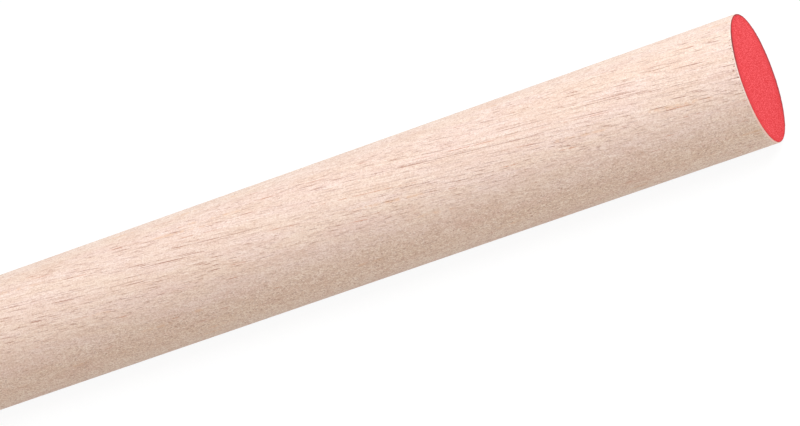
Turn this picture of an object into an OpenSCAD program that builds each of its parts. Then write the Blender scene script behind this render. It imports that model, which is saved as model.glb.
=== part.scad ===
// Round hardwood dowel rod, turned as one piece and sawn square at both ends.
// One end face carries a thin coat of coloured paint, as stock rods do to mark their size.
// The rod lies along +X. The origin is the centre of its plain end, and the painted end is at +X.

/* [Rod] */
// Diameter of the rod
rod_d = 25.4; // [6:0.1:50]
// Length of the wood, from one sawn face to the other
rod_length = 914.4; // [150:0.1:2400]
// Radius to which the arris round each sawn face is eased
arris_r = 0.15; // [0.05:0.05:1]

/* [Painted end] */
// Thickness of the dried paint on the sawn face
paint_t = 0.1; // [0.05:0.01:0.5]
// Bare wood left between the paint's lip and the eased arris
paint_margin = 0.02; // [0:0.01:0.5]

/* [Hidden] */
$fn = 180;
// The flat of each sawn face ends where the eased arris begins
face_r = rod_d / 2 - arris_r;
// The film ends a margin short of that
film_r = face_r - paint_margin;

// Half section of a round bar standing on its end, with both arrises rounded
module bar_section(r, length, ease) {
    square([r - ease, length]);
    translate([0, ease]) square([r, length - 2 * ease]);
    for (y = [ease, length - ease]) translate([r - ease, y]) circle(ease);
}

// Half section of a film lying on a face: flat below, its lip drawn round by surface tension
module film_section(r, thickness) {
    square([r - thickness, thickness]);
    intersection() {
        translate([r - thickness, 0]) circle(thickness);
        square([r, thickness]);
    }
}

// Turns a half section about the rod's axis, its foot at x along the rod
module turned_along_x(x = 0) {
    translate([x, 0, 0]) rotate([0, 90, 0]) rotate_extrude() children();
}

// The wood, one solid from end to end
module rod() {
    color("#E6C8B4") turned_along_x() bar_section(rod_d / 2, rod_length, arris_r);
}

// The paint, face to face on the sawn wood
module end_paint() {
    color("#EC4E55") turned_along_x(rod_length) film_section(film_r, paint_t);
}

rod();
end_paint();
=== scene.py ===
from math import cos, pi, radians, sin

import bpy
from mathutils import Matrix, Vector


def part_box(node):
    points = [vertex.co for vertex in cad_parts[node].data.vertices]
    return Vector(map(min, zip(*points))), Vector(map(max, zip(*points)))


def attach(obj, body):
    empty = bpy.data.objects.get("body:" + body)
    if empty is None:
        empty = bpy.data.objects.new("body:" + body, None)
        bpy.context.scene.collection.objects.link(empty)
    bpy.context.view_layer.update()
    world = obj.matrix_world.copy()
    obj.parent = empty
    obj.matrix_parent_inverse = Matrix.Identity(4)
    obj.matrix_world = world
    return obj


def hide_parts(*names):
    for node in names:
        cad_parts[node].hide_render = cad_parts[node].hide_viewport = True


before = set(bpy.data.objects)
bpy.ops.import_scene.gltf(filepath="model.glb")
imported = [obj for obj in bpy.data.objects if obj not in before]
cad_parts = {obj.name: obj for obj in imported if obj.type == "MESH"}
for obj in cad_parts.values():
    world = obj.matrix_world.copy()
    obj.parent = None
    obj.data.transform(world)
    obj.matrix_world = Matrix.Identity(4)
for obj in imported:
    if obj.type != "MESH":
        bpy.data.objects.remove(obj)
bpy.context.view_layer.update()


# ---------------------------------------------------------------------------------------------
# The rod. One piece of pale, slightly pink hardwood, turned round on a dowelling machine and
# sanded, then sawn square to length. Its sawn arrises are just eased by handling.
# ---------------------------------------------------------------------------------------------
MM = 0.001
rod_low, rod_high = (Vector(corner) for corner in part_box("rod"))
ROD_LENGTH = rod_high.x - rod_low.x
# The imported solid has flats, and stands at its full radius straight above the axis.
ROD_R = rod_high.z
ARRIS_R = 0.15 * MM
ROD_SIDES = 256
ROD_SPANS = 36
SMOOTH_BELOW = radians(40)
TOUCHING = 0.001 * MM


def deselect_everything():
    """Leaves nothing selected, so that an operator only acts on the new piece."""
    bpy.ops.object.select_all(action="DESELECT")


def start_piece(name):
    """Names the primitive just added, goes into edit mode on it and returns it."""
    piece = bpy.context.active_object
    piece.name = name
    piece.data.name = name
    bpy.ops.object.mode_set(mode="EDIT")
    return piece


def set_place():
    """Moves the piece's place and turn into its mesh, and goes back into edit mode."""
    bpy.ops.object.mode_set(mode="OBJECT")
    bpy.ops.object.transform_apply(location=True, rotation=True, scale=True)
    bpy.ops.object.mode_set(mode="EDIT")


def select_parts(piece, kind, wanted):
    """In edit mode, selects only the faces or edges that wanted() says yes to."""
    bpy.ops.object.mode_set(mode="OBJECT")
    mesh = piece.data
    for group in (mesh.vertices, mesh.edges, mesh.polygons):
        for part in group:
            part.select = False
    if kind == "FACE":
        for face in mesh.polygons:
            face.select = wanted(face)
    else:
        for edge in mesh.edges:
            edge.select = wanted([mesh.vertices[i].co for i in edge.vertices])
    bpy.ops.object.mode_set(mode="EDIT")
    bpy.ops.mesh.select_mode(type=kind)


def finish_piece(piece, smooth_angle):
    """Leaves edit mode with the piece at the origin, unturned and unscaled, shaded by angle."""
    bpy.ops.mesh.select_all(action="SELECT")
    bpy.ops.mesh.normals_make_consistent(inside=False)
    bpy.ops.object.mode_set(mode="OBJECT")
    bpy.ops.object.transform_apply(location=True, rotation=True, scale=True)
    bpy.ops.object.shade_smooth_by_angle(angle=smooth_angle)


# The bar is drawn out from its plain end in equal spans, as a round is run through a cutter.
deselect_everything()
bpy.ops.mesh.primitive_circle_add(
    vertices=ROD_SIDES, radius=ROD_R, fill_type="NGON",
    location=(rod_low.x, 0, 0), rotation=(0, pi / 2, 0))
rod = start_piece("dowel_rod")
set_place()
for span in range(ROD_SPANS):
    bpy.ops.mesh.extrude_region_move(
        TRANSFORM_OT_translate={"value": (ROD_LENGTH / ROD_SPANS, 0, 0)})


def on_sawn_ring(ends):
    """True for an edge that runs round one of the two sawn faces."""
    return all(
        min(abs(end.x - rod_low.x), abs(end.x - rod_high.x)) < TOUCHING for end in ends)


select_parts(rod, "EDGE", on_sawn_ring)
bpy.ops.mesh.bevel(offset=ARRIS_R, segments=4, profile=0.5, affect="EDGES")
finish_piece(rod, SMOOTH_BELOW)
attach(rod, "root")
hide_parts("rod")

PINK = "#EDD1C6"
TAN = "#EACEB4"
BLUSH = "#DDB2A4"
STREAK = "#D3AE98"
PORE = "#94492C"
LIGHT = "#FFF1E6"
AMBER = "#E0AE84"
RUST = "#C47650"
SAWN = "#D9B090"
PINK_STAIN_AND_HIGHLIGHT = "#FFD0C0"

# How the fibres lie: turned about the rod's axis, sloping to it by as much as in most bought
# dowels, and wandering by DRIFT_MM over lengths of DRIFT_EVERY_MM.
GRAIN_ROLL_DEG = -116
GRAIN_SLOPE_DEG = 6
DRIFT_EVERY_MM = (5, 5, 40)
DRIFT_MM = (0.8, 0.8, 0)

# Sizes of the figure in the wood, in mm out from the pith, round it and along the fibres. The
# ends of real fibres are 0.02 mm across: the specks are drawn six times as coarse, to show.
PATCH_MM = (2.6, 2.6, 14)
BLUSH_MM = (3.2, 3.2, 18)
RUSTY_MM = (1.8, 1.8, 7)
STREAK_MM = (2.4, 2.4, 20)
FIBRE_MM = (0.3, 0.09, 4)
THREAD_MM = (0.3, 0.3, 11)
SPECK_MM = (0.13, 0.13, 0.25)
FLECK_MM = (0.2, 0.2, 0.4)
TORN_MM = (0.22, 0.22, 0.3)
SAW_MARK_MM = (0.16, 6, 6)
PITH_MM = 90
RING_MM = 2.3
TORN_REACH = 1.0 * MM
TORN_FADE = 0.1 * MM
STAIN_AND_HIGHLIGHT_REACH = 0.3 * MM
STAIN_AND_HIGHLIGHT_FADE = 0.05 * MM
GRAIN_DEPTH = 0.04 * MM

# Vessels, 0.08 and 0.11 mm across as many real ones are, and streaks of gum, which are wider: how
# far they are apart and their radius in mm, the share that is open, and their length in mm.
FINE_VESSELS = (0.22, 0.04, 0.9, 3.0)
COARSE_VESSELS = (0.4, 0.055, 0.8, 7.0)
AMBER_STREAKS = (2.4, 0.3, 0.4, 1.6)
RUSTY_STREAKS = (1.3, 0.1, 0.6, 2.6)


def linear(hex_colour):
    """An sRGB hex colour as linear RGBA."""
    channels = [int(hex_colour[i:i + 2], 16) / 255 for i in (1, 3, 5)]
    return [
        c / 12.92 if c <= 0.04045 else ((c + 0.055) / 1.055) ** 2.4 for c in channels] + [1.0]


def add(owner, kind, inputs=(), output=0, **settings):
    """Adds a shader node to a material or world, and returns the output asked for.

    Each input is a value, or the output that feeds it: a list in the order of the node's
    sockets, or a dict by their names or numbers.
    """
    node = owner.node_tree.nodes.new("ShaderNode" + kind)
    for name, value in settings.items():
        setattr(node, name, value)
    for name, value in inputs.items() if isinstance(inputs, dict) else enumerate(inputs):
        if isinstance(value, bpy.types.NodeSocket):
            owner.node_tree.links.new(value, node.inputs[name])
        else:
            node.inputs[name].default_value = value
    return node.outputs[output] if node.outputs else None


def new_material(name):
    """A node material with no nodes yet."""
    material = bpy.data.materials.new(name)
    material.use_nodes = True
    material.node_tree.nodes.clear()
    return material


def unevenness(owner, place, size_mm, detail, roughness=0.5):
    """A smoothly varying amount, from 0 to 1, in lumps of about size_mm."""
    lumps = add(owner, "VectorMath", [place, size_mm], operation="DIVIDE")
    return add(owner, "TexNoise", {
        "Vector": lumps, "Scale": 1.0, "Detail": detail, "Roughness": roughness})


def cells(owner, place, size_mm):
    """A chance amount, from 0 to 1, for each small cell of about size_mm."""
    packed = add(owner, "VectorMath", [place, size_mm], operation="DIVIDE")
    chance = add(owner, "TexVoronoi", {"Vector": packed, "Scale": 1.0}, "Color")
    return add(owner, "SeparateColor", [chance])


def pore_lines(owner, grain, spacing_mm, radius_mm, share, length_mm):
    """Vessels that the surface has cut open: tubes along the fibres, seen as broken lines.

    A tube is darkest inside half its radius, and some tubes are only faintly open.
    """
    tube = add(owner, "TexVoronoi", {
        "Vector": grain, "Scale": 1 / spacing_mm}, "Distance", voronoi_dimensions="2D")
    chance = add(owner, "SeparateColor", [tube.node.outputs["Color"]])
    radius = radius_mm / spacing_mm
    tube = add(owner, "MapRange", [tube, 0.5 * radius, 1.3 * radius, 1, 0],
               interpolation_type="SMOOTHSTEP")
    is_open = add(owner, "MapRange", [chance, 0.9 - share, 1.2 - share, 0, 1],
                  interpolation_type="SMOOTHSTEP")
    beads = unevenness(owner, grain, (spacing_mm, spacing_mm, length_mm), 4.0, 0.65)
    broken = add(owner, "MapRange", [beads, 0.43, 0.57, 0, 1], interpolation_type="SMOOTHSTEP")
    open_tube = add(owner, "Math", [tube, is_open], operation="MULTIPLY")
    return add(owner, "Math", [open_tube, broken], operation="MULTIPLY")


def lay(owner, colour, tint, *shares, blend="MIX"):
    """Lays a tint over a colour, as strongly as the product of its shares."""
    strength = shares[0]
    for share in shares[1:]:
        strength = add(owner, "Math", [strength, share], operation="MULTIPLY")
    return add(owner, "Mix", {"Factor": strength, 6: colour, 7: linear(tint)}, 2,
               data_type="RGBA", blend_type=blend)


# Pale diffuse-porous hardwood, machine-turned, sanded and left bare. It gives the eye a matte
# pink-tan that has long dark pore lines where the surface follows the fibres, and a fine pale
# and dark speckle further round, where the same fibres dive under the surface.
wood = new_material("sanded_hardwood")
place = add(wood, "TexCoord", output="Object")
along_rod = add(wood, "SeparateXYZ", [place])
sideways = along_rod.node.outputs["Y"]
facing = add(wood, "SeparateXYZ", [place.node.outputs["Normal"]])
facing = add(wood, "Math", [facing], operation="ABSOLUTE")
turned = add(wood, "MapRange", [facing, 0.7, 0.95, 1, 0], interpolation_type="SMOOTHSTEP")
sawn = add(wood, "MapRange", [facing, 0.7, 0.95, 0, 1], interpolation_type="SMOOTHSTEP")

# The grain's own coordinates in mm: x out from the pith, y round it and z along the fibres.
grain = add(wood, "Mapping", {
    "Vector": place, "Scale": (1 / MM, 1 / MM, 1 / MM),
    "Rotation": (radians(GRAIN_ROLL_DEG), radians(GRAIN_SLOPE_DEG), 0)})
parts = add(wood, "SeparateXYZ", [grain]).node.outputs
grain = add(wood, "CombineXYZ", [parts["Y"], parts["Z"], parts["X"]])
drift = unevenness(wood, grain, DRIFT_EVERY_MM, 1.0).node.outputs["Color"]
drift = add(wood, "VectorMath", [drift, (0.5, 0.5, 0.5)], operation="SUBTRACT")
drift = add(wood, "VectorMath", [drift, DRIFT_MM], operation="MULTIPLY")
grain = add(wood, "VectorMath", [grain, drift], operation="ADD")

# Wood of two kinds: rich in open pores on the outer side of the tree, plain on the inner side.
radial = add(wood, "SeparateXYZ", [grain])
rich = add(wood, "MapRange", [radial, 8.3, 11.8, 0.1, 1], interpolation_type="SMOOTHSTEP")
plain = add(wood, "MapRange", [radial, 4.0, 11.5, 1, 0.56], interpolation_type="SMOOTHSTEP")
pink_side = add(wood, "MapRange", [radial, 2.0, 10.0, 0.35, 1], interpolation_type="SMOOTHSTEP")

# Painted light: the wood is painted paler round to the back and round the underside, which
# lightens the rod's upper and lower outlines.
painted_pale_back = add(wood, "MapRange", [sideways, 0, 6 * MM, 0, 0.3], interpolation_type="SMOOTHSTEP")
painted_pale_underside = add(wood, "MapRange", [radial, -2.0, 4.5, 0.5, 0], interpolation_type="SMOOTHSTEP")

# Slow changes of colour along the wood, and faint rusty stains.
patches = unevenness(wood, grain, PATCH_MM, 2.0)
patches = add(wood, "MapRange", [patches, 0.3, 0.7, 0.5, 1], interpolation_type="SMOOTHSTEP")
blush = unevenness(wood, grain, BLUSH_MM, 2.0)
blush = add(wood, "MapRange", [blush, 0.48, 0.68, 0, 0.38], interpolation_type="SMOOTHSTEP")
rusty = unevenness(wood, grain, RUSTY_MM, 3.0)
rusty = add(wood, "MapRange", [rusty, 0.56, 0.72, 0, 0.22], interpolation_type="SMOOTHSTEP")
streaks = unevenness(wood, grain, STREAK_MM, 2.0)
streaks = add(wood, "MapRange", [streaks, 0.3, 0.7, 0, 0.14], interpolation_type="SMOOTHSTEP")

# Year rings, far out from the pith, so that they cross the rod almost straight.
from_pith = add(wood, "VectorMath", [grain, (PITH_MM, 0, 0)], operation="ADD")
from_pith = add(wood, "VectorMath", [from_pith, (1, 1, 0)], operation="MULTIPLY")
years = add(wood, "VectorMath", [from_pith], "Value", operation="LENGTH")
years = add(wood, "Math", [years, RING_MM], operation="DIVIDE")
rings = add(wood, "Math", [years], operation="FRACT")
rings = add(wood, "MapRange", [rings, 0.55, 0.95, 0, 1], interpolation_type="SMOOTHSTEP")

# Fine fibres, darker and paler, and the longer threads among them.
fibres = unevenness(wood, grain, FIBRE_MM, 1.0)
dark_fibres = add(wood, "MapRange", [fibres, 0.3, 0.5, 0.42, 0], interpolation_type="SMOOTHSTEP")
pale_fibres = add(wood, "MapRange", [fibres, 0.5, 0.7, 0, 0.3], interpolation_type="SMOOTHSTEP")
threads = unevenness(wood, grain, THREAD_MM, 2.0)
threads = add(wood, "MapRange", [threads, 0.35, 0.5, 0.62, 0], interpolation_type="SMOOTHSTEP")

# Cut fibre ends, darker and paler, with a few open ones as dark flecks.
specks = cells(wood, grain, SPECK_MM)
dark_specks = add(wood, "MapRange", [specks, 0, 0.6, 1, 0], interpolation_type="SMOOTHSTEP")
pale_specks = add(wood, "MapRange", [specks, 0.6, 1, 0, 0.52], interpolation_type="SMOOTHSTEP")
flecks = cells(wood, grain, FLECK_MM)
flecks = add(wood, "MapRange", [flecks, 0.88, 0.92, 0, 1], interpolation_type="SMOOTHSTEP")

# Open vessels in two sizes, and a few that hold amber or rusty gum.
fine_pores = pore_lines(wood, grain, *FINE_VESSELS)
coarse_pores = pore_lines(wood, grain, *COARSE_VESSELS)
amber_gum = pore_lines(wood, grain, *AMBER_STREAKS)
rusty_gum = pore_lines(wood, grain, *RUSTY_STREAKS)

# The ends: arrises rubbed pale and painted paler still, a painted highlight where they catch the
# light. Beside the painted face they are faintly stained pink by the paint and painted pale in
# the same way. Specks are torn out by the saw.
worn_and_highlit = add(wood, "MapRange", [facing, 0.15, 0.4, 0, 1], interpolation_type="SMOOTHSTEP")
not_face = add(wood, "MapRange", [facing, 0.8, 0.95, 1, 0], interpolation_type="SMOOTHSTEP")
stain_and_highlight_from = rod_high.x - STAIN_AND_HIGHLIGHT_REACH
stain_and_highlight = add(wood, "MapRange", [
    along_rod, stain_and_highlight_from - STAIN_AND_HIGHLIGHT_FADE, stain_and_highlight_from + STAIN_AND_HIGHLIGHT_FADE, 0, 1],
    interpolation_type="SMOOTHSTEP")
stain_and_highlight_side = add(wood, "MapRange", [radial, 7.0, 11.0, 1, 0], interpolation_type="SMOOTHSTEP")
torn_from = rod_high.x - TORN_REACH
near_end = add(wood, "MapRange", [
    along_rod, torn_from - TORN_FADE, torn_from + TORN_FADE, 0, 1],
    interpolation_type="SMOOTHSTEP")
torn = cells(wood, grain, TORN_MM)
torn = add(wood, "MapRange", [torn, 0.95, 0.97, 0, 1], interpolation_type="SMOOTHSTEP")
for mask in (near_end, turned, rich):
    torn = add(wood, "Math", [torn, mask], operation="MULTIPLY")

# Each colour is laid over those before it, as strongly as the product of its shares.
colour = linear(TAN)
for tint, *shares in (
        (PINK, pink_side, patches),
        (LIGHT, painted_pale_back),
        (LIGHT, painted_pale_underside),
        (BLUSH, plain, blush),
        (RUST, plain, rusty),
        (STREAK, streaks),
        (STREAK, 0.08, rings),
        (PORE, 0.3, rings, sawn),
        (STREAK, dark_fibres),
        (LIGHT, pale_fibres),
        (STREAK, plain, turned, threads),
        (STREAK, plain, dark_specks),
        (PORE, 0.34, plain, flecks),
        (LIGHT, plain, turned, pale_specks),
        (AMBER, 0.4, amber_gum),
        (RUST, 0.6, rusty_gum),
        (PORE, 0.8, rich, fine_pores),
        (PORE, 0.92, rich, coarse_pores)):
    colour = lay(wood, colour, tint, *shares)
colour = lay(wood, colour, SAWN, 0.35, sawn, blend="MULTIPLY")
# Wear and painted highlight on the arrises, then pink stain and painted highlight beside the
# painted face.
colour = lay(wood, colour, LIGHT, 0.6, worn_and_highlit, not_face)
colour = lay(wood, colour, PINK_STAIN_AND_HIGHLIGHT, 0.8, stain_and_highlight, stain_and_highlight_side, turned)
colour = lay(wood, colour, PORE, 0.75, torn)

# Sanding leaves the round side faintly rough, the saw leaves ridges on the ends, and the pores
# and torn specks are open holes.
saw_marks = unevenness(wood, grain, SAW_MARK_MM, 2.0)
height = add(wood, "Math", [specks, 0.4], operation="MULTIPLY")
height = add(wood, "Math", [height, turned], operation="MULTIPLY")
height = add(wood, "Math", [sawn, saw_marks, height], operation="MULTIPLY_ADD")
for hole in (fine_pores, coarse_pores, torn):
    height = add(wood, "Math", [height, hole], operation="SUBTRACT")
relief = add(wood, "Bump", {"Height": height, "Strength": 0.5, "Distance": GRAIN_DEPTH})
matt = add(wood, "MapRange", [specks, 0, 1, 0.55, 0.68], interpolation_type="SMOOTHSTEP")
bare_wood = add(wood, "BsdfPrincipled", {
    "Base Color": colour, "Roughness": matt, "IOR": 1.5, "Normal": relief})
add(wood, "OutputMaterial", {"Surface": bare_wood})
rod.data.materials.append(wood)


# ---------------------------------------------------------------------------------------------
# The paint. A thin coat of matte red, brushed on one sawn face to mark the stock. It has dried
# as a film with brush marks and a slightly raised lip that reaches a little over the eased
# arris, furthest on the far side. The lip is coloured dark on all but the near side: partly paint
# that has gathered there, and partly painted shade where the lip turns away from the camera.
# ---------------------------------------------------------------------------------------------
film_low, film_high = (Vector(corner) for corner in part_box("end_paint"))
OVER_ARRIS = 0.1 * MM
DRAWN_OVER = 0.04 * MM
FILM_R = film_high.z + OVER_ARRIS
FILM_T = film_high.x - film_low.x
FILM_SMOOTH_BELOW = radians(60)
EDGE_ROUND = 0.04 * MM
LIP_WIDTH = 0.45 * MM
LIP_SLOPE = 0.35 * MM
LIP_HEIGHT = 0.035 * MM
BRUSH_RINGS = 36
BRUSH_WAVE = 1.6 * MM
BRUSH_RELIEF = 0.03 * MM
NICK_LENGTH = 0.7 * MM
NICK_DEPTH = 0.1 * MM

# A disc is laid on the sawn face and thickened, then ringed inwards from a raised lip.
deselect_everything()
bpy.ops.mesh.primitive_circle_add(
    vertices=ROD_SIDES, radius=FILM_R, fill_type="NGON",
    location=(film_low.x, DRAWN_OVER, 0), rotation=(0, pi / 2, 0))
film = start_piece("end_paint_film")
set_place()
bpy.ops.mesh.extrude_region_move(TRANSFORM_OT_translate={"value": (FILM_T, 0, 0)})
select_parts(film, "EDGE", lambda ends: all(
    abs(end.x - film_high.x) < TOUCHING for end in ends))
bpy.ops.mesh.bevel(offset=EDGE_ROUND, segments=2, profile=0.5, affect="EDGES")
select_parts(film, "FACE", lambda face: face.normal.x > 0.99 and len(face.vertices) == ROD_SIDES)
bpy.ops.mesh.inset(thickness=LIP_WIDTH)
bpy.ops.mesh.inset(thickness=LIP_SLOPE, depth=-LIP_HEIGHT)
ring_step = (FILM_R - EDGE_ROUND - LIP_WIDTH - LIP_SLOPE) / (BRUSH_RINGS + 1)
for ring in range(BRUSH_RINGS):
    bpy.ops.mesh.inset(thickness=ring_step)
bpy.ops.mesh.poke()
finish_piece(film, FILM_SMOOTH_BELOW)


def roughen(piece, wanted, lump, depth, direction):
    """Sinks the wanted vertices unevenly, by depth at most and never outwards."""
    group = piece.vertex_groups.new(name="uneven")
    group.add([v.index for v in piece.data.vertices if wanted(v.co)], 1.0, "REPLACE")
    waves = bpy.data.textures.new("uneven", "CLOUDS")
    waves.noise_scale = lump
    waves.noise_depth = 1
    shape = piece.modifiers.new("uneven", "DISPLACE")
    shape.texture = waves
    shape.texture_coords = "LOCAL"
    shape.vertex_group = group.name
    shape.direction = direction
    shape.mid_level = 1.0
    shape.strength = depth
    bpy.ops.object.modifier_apply(modifier=shape.name)
    piece.vertex_groups.clear()


def from_centre(place):
    """Distance from the rod's axis."""
    return (place.y ** 2 + place.z ** 2) ** 0.5


def in_brushed_field(place):
    """True inside the lip, on the painted side of the film."""
    return place.x > film_low.x + 0.5 * FILM_T and from_centre(place) < FILM_R - LIP_WIDTH


def on_outer_edge(place):
    """True on the film's rim, where the brush has left it ragged."""
    return from_centre(place) > FILM_R - DRAWN_OVER - 1.5 * EDGE_ROUND


roughen(film, in_brushed_field, BRUSH_WAVE, BRUSH_RELIEF, "X")
roughen(film, on_outer_edge, NICK_LENGTH, NICK_DEPTH, "NORMAL")
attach(film, "root")
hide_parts("end_paint")

RED = "#E01016"
RED_PALE = "#F75E65"
RED_THICK = "#DE262C"
RED_GATHERED_AND_SHADED = "#8E1C24"
BRUSH_DEG = 40
# Bristle marks, in mm through the film, along the stroke and across it. Real ones are half as
# wide, and are drawn coarser to show.
BRISTLE_MM = (0.2, 0.6, 0.2)

# Matte alkyd paint, brushed on thirsty end grain. It gives the eye a flat, warm red with fine
# paler brush marks where it is thin, richer inside the rim, and dark in the lip away from the
# near side, from gathered paint and from painted shade.
paint = new_material("brushed_red_paint")
place = add(paint, "TexCoord", output="Object")
brushed = add(paint, "Mapping", {
    "Vector": place, "Scale": (1 / MM, 1 / MM, 1 / MM), "Rotation": (radians(BRUSH_DEG), 0, 0)})
marks = unevenness(paint, brushed, BRISTLE_MM, 3.0, 0.7)
thin = add(paint, "MapRange", [marks, 0.36, 0.66, 0, 1], interpolation_type="SMOOTHSTEP")

# How far in from the rim, in lip widths: the lip is widest where the strokes end.
across = add(paint, "VectorMath", [brushed, (0, 1, 1)], operation="MULTIPLY")
from_axis = add(paint, "VectorMath", [across], "Value", operation="LENGTH")
stroke = add(paint, "SeparateXYZ", [brushed]).node.outputs["Y"]
stroke = add(paint, "Math", [stroke], operation="ABSOLUTE")
lip = add(paint, "MapRange", [stroke, 4, FILM_R / MM, 0.25, 1.1], interpolation_type="SMOOTHSTEP")
inward = add(paint, "Math", [FILM_R / MM, from_axis], operation="SUBTRACT")
inward = add(paint, "Math", [inward, lip], operation="DIVIDE")
thick = add(paint, "MapRange", [inward, 0.8, 5.0, 1, 0], interpolation_type="SMOOTHSTEP")
in_lip = add(paint, "MapRange", [inward, 0.35, 1.1, 1, 0], interpolation_type="SMOOTHSTEP")
sideways = add(paint, "SeparateXYZ", [place]).node.outputs["Y"]
gathered_and_shaded_side = add(paint, "MapRange", [sideways, -FILM_R, -0.2 * FILM_R, 0, 1],
                interpolation_type="SMOOTHSTEP")

colour = lay(paint, linear(RED), RED_PALE, thin)
colour = lay(paint, colour, RED_THICK, 0.5, thick)
# Gathered paint and painted shade: the lip is laid dark except on the side nearest the camera.
colour = lay(paint, colour, RED_GATHERED_AND_SHADED, 0.9, gathered_and_shaded_side, in_lip)
matt = add(paint, "MapRange", [marks, 0.3, 0.7, 0.7, 0.85], interpolation_type="SMOOTHSTEP")
relief = add(paint, "Bump", {"Height": marks, "Strength": 0.6, "Distance": BRUSH_RELIEF})
dry_paint = add(paint, "BsdfPrincipled", {
    "Base Color": colour, "Roughness": matt, "Specular IOR Level": 0.25, "Normal": relief})
add(paint, "OutputMaterial", {"Surface": dry_paint})
film.data.materials.append(paint)


# ---------------------------------------------------------------------------------------------
# The studio: a plain pale floor that the rod lies on, even light from all round, and two soft
# lamps that hang flat over the rod, one beyond its painted end and one over its plain end.
# ---------------------------------------------------------------------------------------------
FLOOR_SIZE = 12
deselect_everything()
bpy.ops.mesh.primitive_plane_add(size=FLOOR_SIZE, location=(ROD_LENGTH / 2, 0, -ROD_R))
floor = start_piece("studio_floor")
finish_piece(floor, SMOOTH_BELOW)


def seen_directly(owner):
    """1 where the eye sees this itself, mirrored or through glass, and 0 for bounced light."""
    ray = add(owner, "LightPath").node.outputs
    seen = add(owner, "Math", [ray["Is Camera Ray"], ray["Is Glossy Ray"]])
    return add(owner, "Math", [seen, ray["Is Transmission Ray"]], use_clamp=True)


# Matte white board. The eye sees it near white, with the rod's shadow faint on it, while the
# light that it throws back up is that of a board that is a little darker and warmer.
WHITE = (1, 1, 1, 1)
BOUNCED = (0.76, 0.735, 0.7, 1)
SHADED = (0.09, 0.09, 0.09, 1)
GLOW = 0.93
board = new_material("pale_floor")
bouncing = add(board, "BsdfDiffuse", [BOUNCED])
shaded = add(board, "BsdfDiffuse", [SHADED])
glow = add(board, "Emission", [WHITE, GLOW])
seen_board = add(board, "AddShader", [shaded, glow])
board_surface = add(board, "MixShader", [seen_directly(board), bouncing, seen_board])
add(board, "OutputMaterial", {"Surface": board_surface})
floor.data.materials.append(board)

# Warm, even light from all round. The eye sees the air itself as white.
WARM = (1, 0.95, 0.89, 1)
WARM_LIGHT = 0.39
world = bpy.data.worlds.new("studio_air")
world.use_nodes = True
world.node_tree.nodes.clear()
bpy.context.scene.world = world
warm_air = add(world, "Background", [WARM, WARM_LIGHT])
white_air = add(world, "Background", [WHITE, 1.0])
air = add(world, "MixShader", [seen_directly(world), warm_air, white_air])
add(world, "OutputWorld", {"Surface": air})

END_CENTRE = Vector((film_high.x, 0, 0))
COOL = (0.915, 1.01, 1.09)
LESS_COOL = (0.925, 0.995, 1.015)
LAMP_NEARER = 0.03


def softbox(name, along, height, length, width, power, tint):
    """Hangs a soft lamp flat over the rod, so far along it from the painted end.

    Its place and size are in metres, and its power in watts.
    """
    bpy.ops.object.light_add(
        type="AREA", location=END_CENTRE + Vector((along, -LAMP_NEARER, height)))
    lamp = bpy.context.active_object
    lamp.name = name
    lamp.data.shape = "RECTANGLE"
    lamp.data.size = length
    lamp.data.size_y = width
    lamp.data.energy = power
    lamp.data.color = tint


softbox(
    "softbox_beyond_painted_end", along=0.405, height=0.6, length=0.5, width=0.675,
    power=5.66, tint=COOL)
softbox(
    "softbox_over_plain_end", along=-0.75, height=0.8, length=0.6, width=0.9,
    power=6.5, tint=LESS_COOL)

# The camera stands in front of the painted end and above the rod, with a long lens, turned
# about its own axis so that the rod climbs to the right.
ELEVATION = radians(40)
ROLL = radians(-34.723)
BEYOND_END = 0.19564
FROM_AXIS = 0.77716
AIM_BEHIND_END = 0.07564
AIM_BELOW_AXIS = 0.00181
LENS_MM = 192.6
SENSOR_MM = 36
NEAR_CLIP = 0.01
towards_camera = Vector((0, -cos(ELEVATION), sin(ELEVATION)))
across_view = Vector((0, sin(ELEVATION), cos(ELEVATION)))
stand = END_CENTRE + Vector((BEYOND_END, 0, 0)) + FROM_AXIS * towards_camera
aim = END_CENTRE - Vector((AIM_BEHIND_END, 0, 0)) - AIM_BELOW_AXIS * across_view
level = (aim - stand).to_track_quat("-Z", "Y").to_matrix()
bpy.ops.object.camera_add(
    location=stand, rotation=(level @ Matrix.Rotation(ROLL, 3, "Z")).to_euler())
camera = bpy.context.active_object
camera.name = "camera"
camera.data.sensor_width = SENSOR_MM
camera.data.lens = LENS_MM
camera.data.clip_start = NEAR_CLIP
bpy.context.scene.camera = camera
bpy.context.scene.view_settings.view_transform = "Standard"
